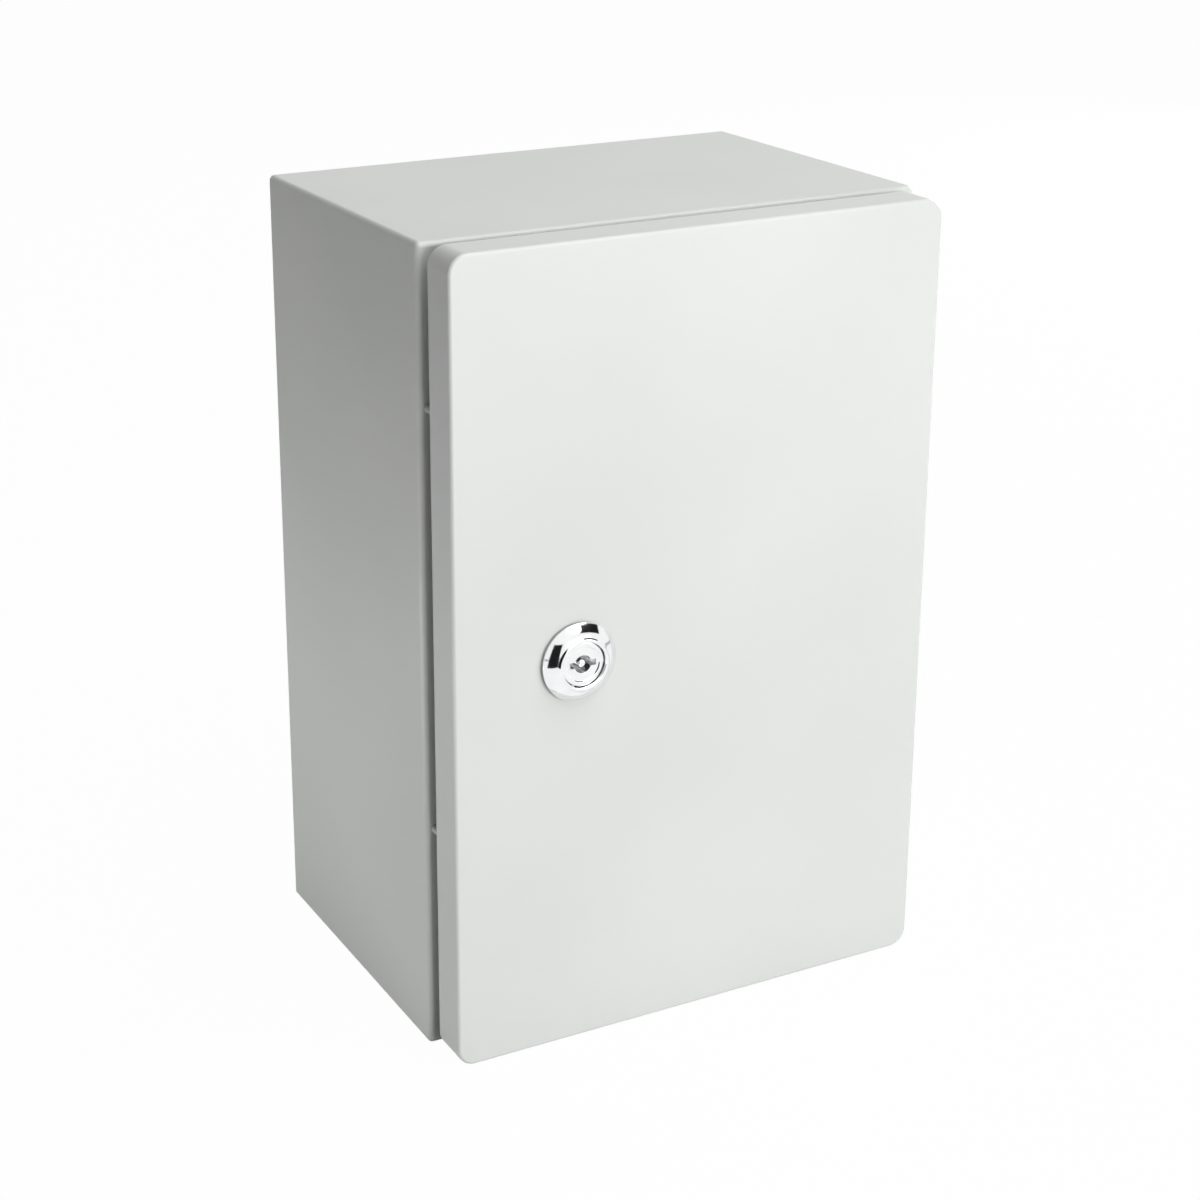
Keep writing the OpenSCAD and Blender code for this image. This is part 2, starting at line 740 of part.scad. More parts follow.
module cam_screw() {
    seat_y = cam_back_y + cam_washer_t;
    color("silver") difference() {
        union() {
            rod(lock_x, seat_y + cam_head_t, lock_z, screw_head_d, cam_head_t);
            rod(lock_x, seat_y + eps, lock_z, screw_d, cam_washer_t + cam_t + cam_screw_grip);
        }
        translate([lock_x, seat_y + cam_head_t + overrun, lock_z]) rotate([90, 0, 0])
            cylinder(d = screw_socket_d, h = screw_socket_h + overrun, $fn = 6);
    }
}

body_wrap();
rear_panel();
mounting_plate();
plate_studs();
plate_washers();
plate_nuts();
gland_plate();
gland_gasket();
gland_studs();
gland_nuts();
earth_stud();
earth_washer();
earth_nut();
hinge_arm_upper();
hinge_arm_lower();
hinge_arm_screws();
hinge_arm_nuts();
door_buffers();
door_panel();
door_gasket();
hinge_leaf_upper();
hinge_leaf_lower();
hinge_pin_upper();
hinge_pin_lower();
door_earth_stud();
door_earth_washer();
door_earth_nut();
lock_bezel();
lock_seal();
lock_nut();
lock_core();
lock_cam();
cam_washer();
cam_screw();
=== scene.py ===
import json
import math

import bmesh
import bpy
from mathutils import Matrix, Vector


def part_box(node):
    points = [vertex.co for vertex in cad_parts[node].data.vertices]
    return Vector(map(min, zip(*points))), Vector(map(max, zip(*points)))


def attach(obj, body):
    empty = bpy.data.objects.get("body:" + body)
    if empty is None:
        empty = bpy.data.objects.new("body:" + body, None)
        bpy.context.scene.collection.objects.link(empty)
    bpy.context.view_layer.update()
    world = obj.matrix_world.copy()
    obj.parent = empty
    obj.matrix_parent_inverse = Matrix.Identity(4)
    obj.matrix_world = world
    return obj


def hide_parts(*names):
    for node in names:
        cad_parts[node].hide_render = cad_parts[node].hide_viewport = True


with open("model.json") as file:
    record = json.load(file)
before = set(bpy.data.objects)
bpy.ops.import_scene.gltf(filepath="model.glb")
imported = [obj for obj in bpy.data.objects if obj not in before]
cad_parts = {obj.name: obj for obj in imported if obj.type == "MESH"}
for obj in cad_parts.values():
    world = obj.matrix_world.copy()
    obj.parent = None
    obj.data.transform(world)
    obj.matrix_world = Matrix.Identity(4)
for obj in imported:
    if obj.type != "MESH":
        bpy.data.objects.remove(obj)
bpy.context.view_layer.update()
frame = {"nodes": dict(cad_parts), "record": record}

nodes = frame["nodes"]
MM = 0.001

# ---------------------------------------------------------------- sizes, read from the frame

wrap_low, wrap_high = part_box("body_wrap")
door_low, door_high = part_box("door_panel")
bezel_low, bezel_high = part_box("lock_bezel")
core_low, core_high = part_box("lock_core")
gasket_low, gasket_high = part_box("door_gasket")
gland_low, gland_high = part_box("gland_gasket")

# Sizes that a box doesn't show
SHEET = 1.2 * MM
BODY_FOLD = 2 * MM
RETURN_W = 22 * MM
LIP_CORNER = 5 * MM
DOOR_FOLD = 2 * MM
DOOR_CORNER = 7 * MM
LOCK_HOLE_R = 11.25 * MM
LOCK_BORE_R = 7.05 * MM
SEAL_T = 0.8 * MM
GLAND_RIM = 14 * MM
GLAND_CORNER = 5 * MM
GASKET_WIDTH = 8 * MM
GASKET_ROUND = 2.5 * MM

# A thread's depth as a share of its pitch, and the rings drawn in each pitch
THREAD_DEPTH = 0.6
RINGS_PER_PITCH = 8

# Points closer than TOUCH are one point, and no corner of an outline is sharper than LEAST_ROUND
TOUCH = 1e-6
LEAST_ROUND = 0.05 * MM

body_w = wrap_high.x - wrap_low.x
body_h = wrap_high.z - wrap_low.z
body_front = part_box("hinge_arm_upper")[1].y
lip_front = wrap_low.y
door_w = door_high.x - door_low.x
door_h = door_high.z - door_low.z
door_front = door_low.y
door_back = door_high.y
lock_x = (bezel_low.x + bezel_high.x) / 2
lock_z = (bezel_low.z + bezel_high.z) / 2


# ---------------------------------------------------------------- material helpers

def linear(hex_code):
    """sRGB hex to a linear RGBA colour."""
    def channel(value):
        return value / 12.92 if value <= 0.04045 else ((value + 0.055) / 1.055) ** 2.4
    return [channel(int(hex_code[i:i + 2], 16) / 255) for i in (1, 3, 5)] + [1.0]


def add(tree, kind, links=(), **settings):
    """Adds a shader node; settings are its attributes or sockets, links are (socket, source)."""
    made = tree.nodes.new("ShaderNode" + kind)
    for key, value in settings.items():
        if hasattr(made, key):
            setattr(made, key, value)
        else:
            made.inputs[key.replace("_", " ")].default_value = value
    for socket, source in links:
        tree.links.new(source, made.inputs[socket])
    return made


def new_material(name, **settings):
    """A Principled material; returns the material, its tree, its shader and object coordinates."""
    made = bpy.data.materials.new(name)
    made.use_nodes = True
    tree = made.node_tree
    shader = tree.nodes["Principled BSDF"]
    for key, value in settings.items():
        shader.inputs[key.replace("_", " ")].default_value = value
    place = add(tree, "TexCoord").outputs["Object"]
    return made, tree, shader, place


def shade_between(tree, factor, dark, light, low=0.3, high=0.7):
    """A colour ramp between two hex colours."""
    ramp = add(tree, "ValToRGB", [("Fac", factor)])
    ramp.color_ramp.elements[0].position = low
    ramp.color_ramp.elements[0].color = linear(dark)
    ramp.color_ramp.elements[1].position = high
    ramp.color_ramp.elements[1].color = linear(light)
    return ramp.outputs["Color"]


def vary(tree, factor, low, high):
    """Maps a 0 to 1 pattern to a range of numbers."""
    return add(tree, "MapRange", [("Value", factor)], To_Min=low, To_Max=high).outputs["Result"]


def per_metre(size_mm):
    """Texture scale whose features are about size_mm across."""
    return 1000.0 / size_mm


def noise(tree, place, size_mm, detail=2.0, roughness=0.5):
    """A 0 to 1 noise pattern whose features are about size_mm across."""
    return add(tree, "TexNoise", [("Vector", place)], Scale=per_metre(size_mm), Detail=detail,
               Roughness=roughness).outputs["Fac"]


def bump(tree, shader, height, depth_mm, after=None):
    """Relief from a pattern, over another one if given; its normal is linked and returned."""
    links = [("Height", height)]
    if after is not None:
        links.append(("Normal", after))
    made = add(tree, "Bump", links, Strength=1.0, Distance=depth_mm * MM)
    tree.links.new(made.outputs["Normal"], shader.inputs["Normal"])
    return made.outputs["Normal"]


def powder_coat(name, dark, light, roughness=0.36):
    """Polyester powder coat, sprayed and stoved on steel: even, semi-gloss, faint orange peel."""
    made, tree, shader, place = new_material(name, IOR=1.5)
    # The film's thickness varies in clouds about 90 mm wide, and handling dulls 26 mm patches
    cloud = noise(tree, place, 90, detail=1.0)
    tree.links.new(shade_between(tree, cloud, dark, light), shader.inputs["Base Color"])
    handling = noise(tree, place, 26, detail=3.0)
    tree.links.new(vary(tree, handling, roughness - 0.03, roughness + 0.04),
                   shader.inputs["Roughness"])
    # Orange peel: waves about 1.6 mm long and a few microns high, with the paint's fine flow over it
    peel = bump(tree, shader, noise(tree, place, 1.6, detail=2.0), 0.010)
    bump(tree, shader, noise(tree, place, 0.5, detail=1.0), 0.0015, after=peel)
    return made


def galvanised_sheet(name):
    """Hot-dip galvanised sheet: spangle about 4 mm wide, each grain a little brighter or duller."""
    made, tree, shader, place = new_material(name, Metallic=1.0)
    grain_mm = 4.0
    ragged = 1.8 * MM
    warp = noise(tree, place, 5, detail=3.0)
    moved = add(tree, "VectorMath", [(0, place)], operation="ADD")
    offset = add(tree, "VectorMath", [(0, warp)], operation="SCALE", Scale=ragged)
    tree.links.new(offset.outputs["Vector"], moved.inputs[1])
    grain = add(tree, "TexVoronoi", [("Vector", moved.outputs["Vector"])],
                Scale=per_metre(grain_mm)).outputs["Color"]
    tone = add(tree, "SeparateColor", [("Color", grain)]).outputs["Red"]
    tree.links.new(shade_between(tree, tone, "#B6BBBE", "#C6CBCD", 0.1, 0.9),
                   shader.inputs["Base Color"])
    tree.links.new(vary(tree, tone, 0.39, 0.47), shader.inputs["Roughness"])
    bump(tree, shader, noise(tree, place, 0.8, detail=3.0), 0.004)
    return made


def zinc_plate(name, dark="#B4B7B8", light="#D0D2D1", roughness=0.3):
    """Bright zinc plate on pressed or headed steel: bluish grey, softly blotched, finely grained."""
    made, tree, shader, place = new_material(name, Metallic=1.0)
    blotch = noise(tree, place, 3.5, detail=4.0, roughness=0.6)
    tree.links.new(shade_between(tree, blotch, dark, light), shader.inputs["Base Color"])
    tree.links.new(vary(tree, blotch, roughness + 0.08, roughness - 0.04),
                   shader.inputs["Roughness"])
    bump(tree, shader, noise(tree, place, 0.4, detail=2.0), 0.003)
    return made


def plain_brass(name):
    """Machined brass: warm yellow metal, dulled in patches by handling."""
    made, tree, shader, place = new_material(name, Metallic=1.0)
    tarnish = noise(tree, place, 4, detail=4.0, roughness=0.6)
    tree.links.new(shade_between(tree, tarnish, "#A98A4A", "#D8BC78"), shader.inputs["Base Color"])
    tree.links.new(vary(tree, tarnish, 0.38, 0.24), shader.inputs["Roughness"])
    bump(tree, shader, noise(tree, place, 0.5, detail=2.0), 0.002)
    return made


def chrome_plate(name, roughness=0.06):
    """Chrome over a polished zinc die casting: near mirror, faint ripple from the casting."""
    made, tree, shader, place = new_material(name, Metallic=1.0)
    film = noise(tree, place, 6, detail=3.0)
    tree.links.new(shade_between(tree, film, "#EFF0F2", "#F8F8F8"), shader.inputs["Base Color"])
    tree.links.new(vary(tree, film, roughness, roughness + 0.05), shader.inputs["Roughness"])
    bump(tree, shader, noise(tree, place, 2.5, detail=1.0), 0.002)
    return made


def ground_steel(name):
    """Centreless-ground stainless pin: grinding lines round the pin about 0.3 mm apart."""
    made, tree, shader, place = new_material(name, Metallic=1.0, Roughness=0.28)
    # The pins stand upright, so the pattern is drawn out 20 times in X and Y
    stretched = add(tree, "Mapping", [("Vector", place)], Scale=(0.05, 0.05, 1.0))
    lines = noise(tree, stretched.outputs["Vector"], 0.3, detail=2.0)
    tree.links.new(shade_between(tree, lines, "#A9ABAD", "#C6C7C8"), shader.inputs["Base Color"])
    bump(tree, shader, lines, 0.004)
    return made


def cast_foam(name):
    """Two-part polyurethane foam cast in place: matt dark skin, with pores about 0.6 mm wide."""
    made, tree, shader, place = new_material(name, IOR=1.45)
    pores = add(tree, "TexVoronoi", [("Vector", place)], Scale=per_metre(0.6)).outputs["Distance"]
    skin = noise(tree, place, 7, detail=3.0)
    tree.links.new(shade_between(tree, skin, "#2B2C2E", "#3A3B3D"), shader.inputs["Base Color"])
    tree.links.new(vary(tree, skin, 0.75, 0.9), shader.inputs["Roughness"])
    bump(tree, shader, pores, 0.08)
    return made


def moulded_rubber(name, dark, light):
    """Moulded rubber: matt, slightly greyed by mould release."""
    made, tree, shader, place = new_material(name, IOR=1.5)
    bloom = noise(tree, place, 3, detail=4.0)
    tree.links.new(shade_between(tree, bloom, dark, light), shader.inputs["Base Color"])
    tree.links.new(vary(tree, bloom, 0.55, 0.75), shader.inputs["Roughness"])
    bump(tree, shader, noise(tree, place, 0.5, detail=2.0), 0.01)
    return made


materials = {
    "powder_coat_body": powder_coat("powder_coat_body", "#D3D6D3", "#D9DBD8"),
    "powder_coat_door": powder_coat("powder_coat_door", "#D5D8D5", "#DADCDA"),
    "galvanised_plate": galvanised_sheet("galvanised_sheet"),
    "zinc_plated_fasteners": zinc_plate("zinc_plated_fasteners"),
    "zinc_plated_hardware": zinc_plate("zinc_plated_pressings", "#A9ACAD", "#C6C9C9", 0.36),
    "stainless_pins": ground_steel("ground_stainless"),
    "brass_earthing": plain_brass("machined_brass"),
    "foam_seal": cast_foam("cast_foam"),
    "rubber_seal": moulded_rubber("black_moulded_rubber", "#151515", "#202020"),
    "rubber_buffers": moulded_rubber("grey_moulded_rubber", "#A9ABA9", "#B9BBB8"),
    "chrome_lock": chrome_plate("chrome_plate"),
    "chrome_core": chrome_plate("chrome_plate_core", 0.12),
}
slot_of = {row["node"]: row["material_slot"] for row in frame["record"]["subparts"]}
body_of = {node: body for body, members in frame["record"]["behaviour"]["bodies"].items()
           for node in members}

for name, piece in nodes.items():
    piece.data.materials.clear()
    piece.data.materials.append(materials[slot_of[name]])


# ---------------------------------------------------------------- mesh helpers

def dress(piece, node, sharp=35):
    """Links a smooth-shaded piece that stands for one node, with its body, slot and material."""
    bpy.context.scene.collection.objects.link(piece)
    for face in piece.data.polygons:
        face.use_smooth = True
    piece.data.set_sharp_from_angle(angle=math.radians(sharp))
    weighted = piece.modifiers.new("flat_faces_stay_flat", "WEIGHTED_NORMAL")
    weighted.keep_sharp = True
    weighted.weight = 100
    piece.data.materials.clear()
    piece.data.materials.append(materials[slot_of[node]])
    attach(piece, body_of[node])
    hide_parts(node)
    return piece


def to_object(name, mesh):
    """Turns a bmesh into an object that isn't linked yet."""
    data = bpy.data.meshes.new(name)
    bmesh.ops.remove_doubles(mesh, verts=mesh.verts, dist=TOUCH)
    bmesh.ops.recalc_face_normals(mesh, faces=mesh.faces)
    mesh.to_mesh(data)
    mesh.free()
    return bpy.data.objects.new(name, data)


def loft(mesh, rings, closed=False, capped=False):
    """Joins rings of (x, y, z) points with quads; closed joins the last ring to the first."""
    rows = [[mesh.verts.new(point) for point in ring] for ring in rings]
    pairs = list(zip(rows, rows[1:])) + ([(rows[-1], rows[0])] if closed else [])
    for one, other in pairs:
        for i in range(len(one)):
            j = (i + 1) % len(one)
            mesh.faces.new((one[i], one[j], other[j], other[i]))
    if capped:
        mesh.faces.new(rows[0])
        mesh.faces.new(rows[-1])


def filleted(corners, closed=False):
    """Rounds a section whose corners are (across, along, radius); open ends stay as they are."""
    coarse_below = 1 * MM
    points = []
    for i, (across, along, radius) in enumerate(corners):
        here = Vector((across, along))
        if radius == 0 or (not closed and i in (0, len(corners) - 1)):
            points.append(here)
            continue
        before = Vector(corners[i - 1][:2]) - here
        after = Vector(corners[(i + 1) % len(corners)][:2]) - here
        half = before.angle(after) / 2
        reach = min(radius / math.tan(half), 0.5 * before.length, 0.5 * after.length)
        start = before.normalized() * reach
        end = after.normalized() * reach
        centre = (start + end).normalized() * (reach / math.cos(half))
        steps = 8 if radius > coarse_below else 4
        for step in range(steps + 1):
            arm = (start - centre).slerp(end - centre, step / steps)
            points.append(here + centre + arm.normalized() * (start - centre).length)
    return points


def rounded_outline(half_w, half_h, radius, steps):
    """Points of a rounded rectangle, anticlockwise from the right, steps to a corner."""
    radius = max(radius, LEAST_ROUND)
    points = []
    for corner, (sx, sz) in enumerate(((1, 1), (-1, 1), (-1, -1), (1, -1))):
        for step in range(steps + 1):
            angle = math.radians(90 * (corner + step / steps))
            points.append((sx * (half_w - radius) + radius * math.cos(angle),
                           sz * (half_h - radius) + radius * math.sin(angle)))
    return points


def folded_rings(section, full_w, full_h, corner_at, steps):
    """Turns a section of (inset, y) points into rounded-rectangle rings."""
    rings = []
    for inset, y in section:
        outline = rounded_outline(full_w / 2 - inset, full_h / 2 - inset, corner_at(inset), steps)
        rings.append([(x, y, z) for x, z in outline])
    return rings


def lathe(mesh, centre, profile, steps=96):
    """Turns a profile of (radius, y) about a -Y axis through centre, an (x, z) pair."""
    rings = []
    for radius, y in profile:
        # A point on the axis becomes a ring too small to see, which to_object merges
        radius = max(radius, TOUCH / 10)
        rings.append([(centre[0] + radius * math.cos(2 * math.pi * i / steps), y,
                       centre[1] + radius * math.sin(2 * math.pi * i / steps))
                      for i in range(steps)])
    loft(mesh, rings)


def cut(piece, cutter):
    """Subtracts a closed mesh from an unlinked piece and keeps the result."""
    bpy.context.scene.collection.objects.link(piece)
    bpy.context.scene.collection.objects.link(cutter)
    made = piece.modifiers.new("cut", "BOOLEAN")
    made.operation = "DIFFERENCE"
    made.solver = "EXACT"
    made.object = cutter
    graph = bpy.context.evaluated_depsgraph_get()
    result = bpy.data.meshes.new_from_object(piece.evaluated_get(graph))
    piece.modifiers.clear()
    piece.data = result
    bpy.data.objects.remove(cutter)
    bpy.context.scene.collection.objects.unlink(piece)


def broken_edges(mesh, width, segments=2, over=30):
    """Rounds every edge of a mesh that turns by more than an angle in degrees."""
    edges = [edge for edge in mesh.edges
             if len(edge.link_faces) == 2 and edge.calc_face_angle() > math.radians(over)]
    bmesh.ops.bevel(mesh, geom=edges, offset=width, segments=segments, profile=0.5,
                    affect="EDGES", clamp_overlap=True)


def soften(node, width_mm):
    """A copy of a plain CAD piece with its edges broken, as pressing and tumbling leave them."""
    mesh = bmesh.new()
    mesh.from_mesh(nodes[node].data)
    flat_within = math.radians(1)
    bmesh.ops.remove_doubles(mesh, verts=mesh.verts, dist=TOUCH)
    bmesh.ops.dissolve_limit(mesh, angle_limit=flat_within, verts=mesh.verts, edges=mesh.edges)
    broken_edges(mesh, width_mm * MM)
    return dress(to_object(node + "_finished", mesh), node)


# ---------------------------------------------------------------- body

def build_body_shell():
    """The folded wrap as one smooth sheet: side, front fold, return, lip, and back inside."""
    inner_y = body_front + SHEET
    edge = 0.4 * MM
    root = 0.6 * MM
    section = filleted([(0, 0, 0), (0, body_front, BODY_FOLD), (RETURN_W, body_front, root),
                        (RETURN_W, lip_front, edge), (RETURN_W + SHEET, lip_front, edge),
                        (RETURN_W + SHEET, inner_y, root + SHEET),
                        (SHEET, inner_y, BODY_FOLD - SHEET), (SHEET, 0, 0)])

    def corner_at(inset):
        if inset <= BODY_FOLD:
            return BODY_FOLD - inset
        share = min(1.0, (inset - BODY_FOLD) / (RETURN_W - BODY_FOLD))
        return LIP_CORNER * share - max(0.0, inset - RETURN_W)

    mesh = bmesh.new()
    loft(mesh, folded_rings(section, body_w, body_h, corner_at, 6), closed=True)
    shell = to_object("body_shell", mesh)

    opening = bmesh.new()
    through = 5 * MM
    half_w = (gland_high.x - gland_low.x) / 2 - GLAND_RIM
    half_d = (gland_high.y - gland_low.y) / 2 - GLAND_RIM
    middle = (gland_high.y + gland_low.y) / 2
    outline = rounded_outline(half_w, half_d, GLAND_CORNER, 8)
    loft(opening, [[(x, middle + y, wrap_low.z + z) for x, y in outline]
                   for z in (-through, through)], capped=True)
    cut(shell, to_object("gland_cutter", opening))
    return dress(shell, "body_wrap")


build_body_shell()
soften("rear_panel", 0.35)
soften("mounting_plate", 0.3)
soften("gland_plate", 0.3)
soften("gland_gasket", 0.4)


# ---------------------------------------------------------------- door

def build_door_shell():
    """The door as one smooth folded sheet with a clean hole for the lock."""
    edge = 0.35 * MM
    front_edge = DOOR_FOLD + 0.5 * MM
    inner_y = door_front + SHEET
    outside = filleted([(SHEET / 2, door_back, 0), (0, door_back, edge),
                        (0, door_front, DOOR_FOLD), (front_edge, door_front, 0)])
    inside = filleted([(front_edge, inner_y, 0), (SHEET, inner_y, DOOR_FOLD - SHEET),
                       (SHEET, door_back, edge), (SHEET / 2, door_back, 0)])

    def corner_at(inset):
        return DOOR_CORNER - inset

    steps = 12
    outer = folded_rings(outside, door_w, door_h, corner_at, steps)
    inner = folded_rings(inside, door_w, door_h, corner_at, steps)

    def hole_like(ring, y):
        """The lock hole's points, each in line with one point of the ring."""
        angles = [math.atan2(z - lock_z, x - lock_x) for x, _, z in ring]
        return [(lock_x + LOCK_HOLE_R * math.cos(angle), y,
                 lock_z + LOCK_HOLE_R * math.sin(angle)) for angle in angles]

    rings = outer + [hole_like(outer[-1], door_front), hole_like(inner[0], inner_y)] + inner[:-1]
    mesh = bmesh.new()
    loft(mesh, rings, closed=True)
    return dress(to_object("door_shell", mesh), "door_panel")


def build_door_gasket():
    """Foam cast in place: one domed bead round the door."""
    half = GASKET_WIDTH / 2
    height = gasket_high.y - gasket_low.y
    base = gasket_low.y
    shoulder = base + height - 1.2 * MM
    crown = base + height - 0.1 * MM
    crown_half = GASKET_ROUND - 1 * MM
    dome_r = 1.5 * MM
    section = filleted([(-half, base, 0), (-half, shoulder, dome_r), (-crown_half, crown, dome_r),
                        (crown_half, crown, dome_r), (half, shoulder, dome_r), (half, base, 0)])
    line_x = gasket_high.x - half
    line_z = gasket_high.z - half
    rings = []
    for across, y in section:
        outline = rounded_outline(line_x + across, line_z + across, GASKET_WIDTH + across, 10)
        rings.append([(x, y, z) for x, z in outline])
    mesh = bmesh.new()
    loft(mesh, rings, closed=True)
    return dress(to_object("foam_bead", mesh), "door_gasket")


def build_buffers():
    """Push-in rubber buffers: a domed head on the return, a neck through it and a barb behind."""
    low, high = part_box("door_buffers")
    head_r = (high.x - low.x) / 2
    neck_r, tip_r = 1 * MM, 0.8 * MM
    dome_r, foot_r, tip_round = 0.7 * MM, 0.2 * MM, 0.3 * MM
    behind = body_front + SHEET
    x = (low.x + high.x) / 2
    mesh = bmesh.new()
    for z in (low.z + head_r, high.z - head_r):
        lathe(mesh, (x, z), filleted([
            (0, low.y, 0), (head_r, low.y, dome_r), (head_r, body_front, foot_r),
            (neck_r, body_front, 0), (neck_r, behind, 0), (head_r, behind, foot_r),
            (tip_r, high.y, tip_round), (0, high.y, 0)]), 32)
    return dress(to_object("buffer_plugs", mesh), "door_buffers")


build_door_shell()
build_door_gasket()
build_buffers()


# ---------------------------------------------------------------- hinges

for side in ("upper", "lower"):
    soften("hinge_arm_" + side, 0.3)
    soften("hinge_leaf_" + side, 0.25)
    soften("hinge_pin_" + side, 0.25)
soften("hinge_arm_screws", 0.2)


# ---------------------------------------------------------------- studs, nuts and washers

def groove_at(angle, height, pitch):
    """How far a place on a threaded rod is from crest, 0, to root, 1."""
    phase = (height / pitch - angle / (2 * math.pi)) % 1.0
    return min(1.0, max(0.0, 1.4 * abs(2 * phase - 1) - 0.2))


def thread_reaches(radius, pitch, height, steps):
    """A thread's distance from its axis at one height, for steps places round it."""
    angles = [2 * math.pi * i / steps for i in range(steps)]
    return [radius - THREAD_DEPTH * pitch * groove_at(angle, height, pitch) for angle in angles]


def threaded_rod(mesh, foot, axis, radius, pitch, length, collar=None):
    """A rod with a true helical thread and a chamfered tip; a collar is its (radius, height)."""
    turn = Vector(axis).to_track_quat("Z", "Y")
    steps = 32
    chamfer = 0.1 * 2 * radius
    collar_edge = 0.3 * MM
    start = collar[1] if collar else 0.0

    def ring(height, reaches):
        points = []
        for i, reach in enumerate(reaches):
            angle = 2 * math.pi * i / steps
            local = Vector((reach * math.cos(angle), reach * math.sin(angle), height))
            points.append(Vector(foot) + turn @ local)
        return points

    rings = []
    if collar:
        for reach, height in ((collar[0], 0), (collar[0], start - collar_edge),
                              (collar[0] - collar_edge, start)):
            rings.append(ring(height, [reach] * steps))
    rows = round((length - start) / pitch * RINGS_PER_PITCH)
    for row in range(rows + 1):
        height = start + (length - start) * row / rows
        bevel = radius - chamfer + (length - height)
        rings.append(ring(height, [min(reach, bevel) for reach
                                   in thread_reaches(radius, pitch, height, steps)]))
    loft(mesh, rings, capped=True)


def build_plate_studs():
    """Weld studs with a wide shank that stands the mounting plate off."""
    low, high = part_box("plate_studs")
    collar_r, thread_r = 6 * MM, 4 * MM
    collar_h = high.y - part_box("mounting_plate")[1].y
    mesh = bmesh.new()
    for x in (low.x + collar_r, high.x - collar_r):
        for z in (low.z + collar_r, high.z - collar_r):
            threaded_rod(mesh, (x, high.y, z), (0, -1, 0), thread_r, 1.25 * MM, high.y - low.y,
                         collar=(collar_r, collar_h))
    return dress(to_object("threaded_plate_studs", mesh), "plate_studs", sharp=50)


def build_gland_studs():
    """Weld studs that hold the gland plate down."""
    low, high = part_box("gland_studs")
    thread_r = 2.5 * MM
    mesh = bmesh.new()
    for x in (low.x + thread_r, high.x - thread_r):
        for y in (low.y + thread_r, high.y - thread_r):
            threaded_rod(mesh, (x, y, low.z), (0, 0, 1), thread_r, 0.8 * MM, high.z - low.z)
    return dress(to_object("threaded_gland_studs", mesh), "gland_studs", sharp=50)


def build_earth_studs():
    """The earthing studs on the body's left side and on the door."""
    low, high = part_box("earth_stud")
    middle = (low + high) / 2
    mesh = bmesh.new()
    threaded_rod(mesh, (low.x, middle.y, middle.z), (1, 0, 0), (high.z - low.z) / 2, 1.25 * MM,
                 high.x - low.x)
    dress(to_object("threaded_earth_stud", mesh), "earth_stud", sharp=50)
    low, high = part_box("door_earth_stud")
    middle = (low + high) / 2
    mesh = bmesh.new()
    threaded_rod(mesh, (middle.x, low.y, middle.z), (0, 1, 0), (high.z - low.z) / 2, 1 * MM,
                 high.y - low.y)
    dress(to_object("threaded_door_earth_stud", mesh), "door_earth_stud", sharp=50)


build_plate_studs()
build_gland_studs()
build_earth_studs()
for name in ("plate_nuts", "gland_nuts", "earth_nut", "door_earth_nut", "hinge_arm_nuts"):
    soften(name, 0.15)
for name in ("plate_washers", "earth_washer", "door_earth_washer", "cam_washer"):
    soften(name, 0.2)


# ---------------------------------------------------------------- lock

def swelling_cone(start, end, swell, steps=10):
    """Points from one (radius, y) to another that bulge forwards, and a little outwards."""
    outwards = 0.4
    points = []
    for step in range(steps + 1):
        t = step / steps
        points.append((start[0] + t * (end[0] - start[0]) + outwards * swell * math.sin(math.pi * t),
                       start[1] + t * (end[1] - start[1]) - swell * math.sin(math.pi * t)))
    return points


def build_bezel():
    """The lock's flared head: thin foot, swelling polished cone, rounded rim, recess and bore."""
    face = bezel_low.y
    foot = door_front - SEAL_T
    outer_r = (bezel_high.x - bezel_low.x) / 2
    rim_r, recess_r = 9.5 * MM, 8.4 * MM
    recess_floor = face + 3.8 * MM
    rim_edge = 0.35 * MM
    cone = swelling_cone((outer_r - 0.2 * MM, foot - 1 * MM), (rim_r + rim_edge, face + rim_edge),
                         0.3 * MM)
    profile = filleted([(LOCK_BORE_R, foot, 0), (outer_r, foot, 0.25 * MM),
                        (outer_r, foot - 0.8 * MM, 0.2 * MM), (*cone[0], 0)])
    profile += [Vector(point) for point in cone[1:]]
    profile += filleted([(*cone[-1], 0), (rim_r, face, 0.4 * MM), (recess_r, face, 0.3 * MM),
                         (recess_r, recess_floor, 0.2 * MM), (LOCK_BORE_R, recess_floor, 0),
                         (LOCK_BORE_R, foot, 0)])
    mesh = bmesh.new()
    lathe(mesh, (lock_x, lock_z), profile, 128)
    inside_head = 0.3 * MM
    add_barrel(mesh, foot - inside_head, bezel_high.y)
    return dress(to_object("lock_head", mesh), "lock_bezel", sharp=40)


def add_barrel(mesh, start, end):
    """The barrel behind the door: a fine thread 22 mm across, two milled flats, a chamfered end."""
    radius, half_flat, pitch, chamfer = 11 * MM, 10 * MM, 1.5 * MM, 0.8 * MM
    bore_r = LOCK_BORE_R + 0.03 * MM
    steps = 128

    def ring(y, reaches):
        points = []
        for i, reach in enumerate(reaches):
            angle = 2 * math.pi * i / steps
            x = max(-half_flat, min(half_flat, reach * math.cos(angle)))
            points.append((lock_x + x, y, lock_z + reach * math.sin(angle)))
        return points

    rows = round((end - start) / pitch * RINGS_PER_PITCH)
    rings = []
    for row in range(rows + 1):
        y = start + (end - start) * row / rows
        bevel = radius - chamfer + (end - y)
        rings.append(ring(y, [min(bevel, reach) for reach
                              in thread_reaches(radius, pitch, y, steps)]))
    rings += [ring(y, [bore_r] * steps) for y in (end, start)]
    loft(mesh, rings, closed=True)


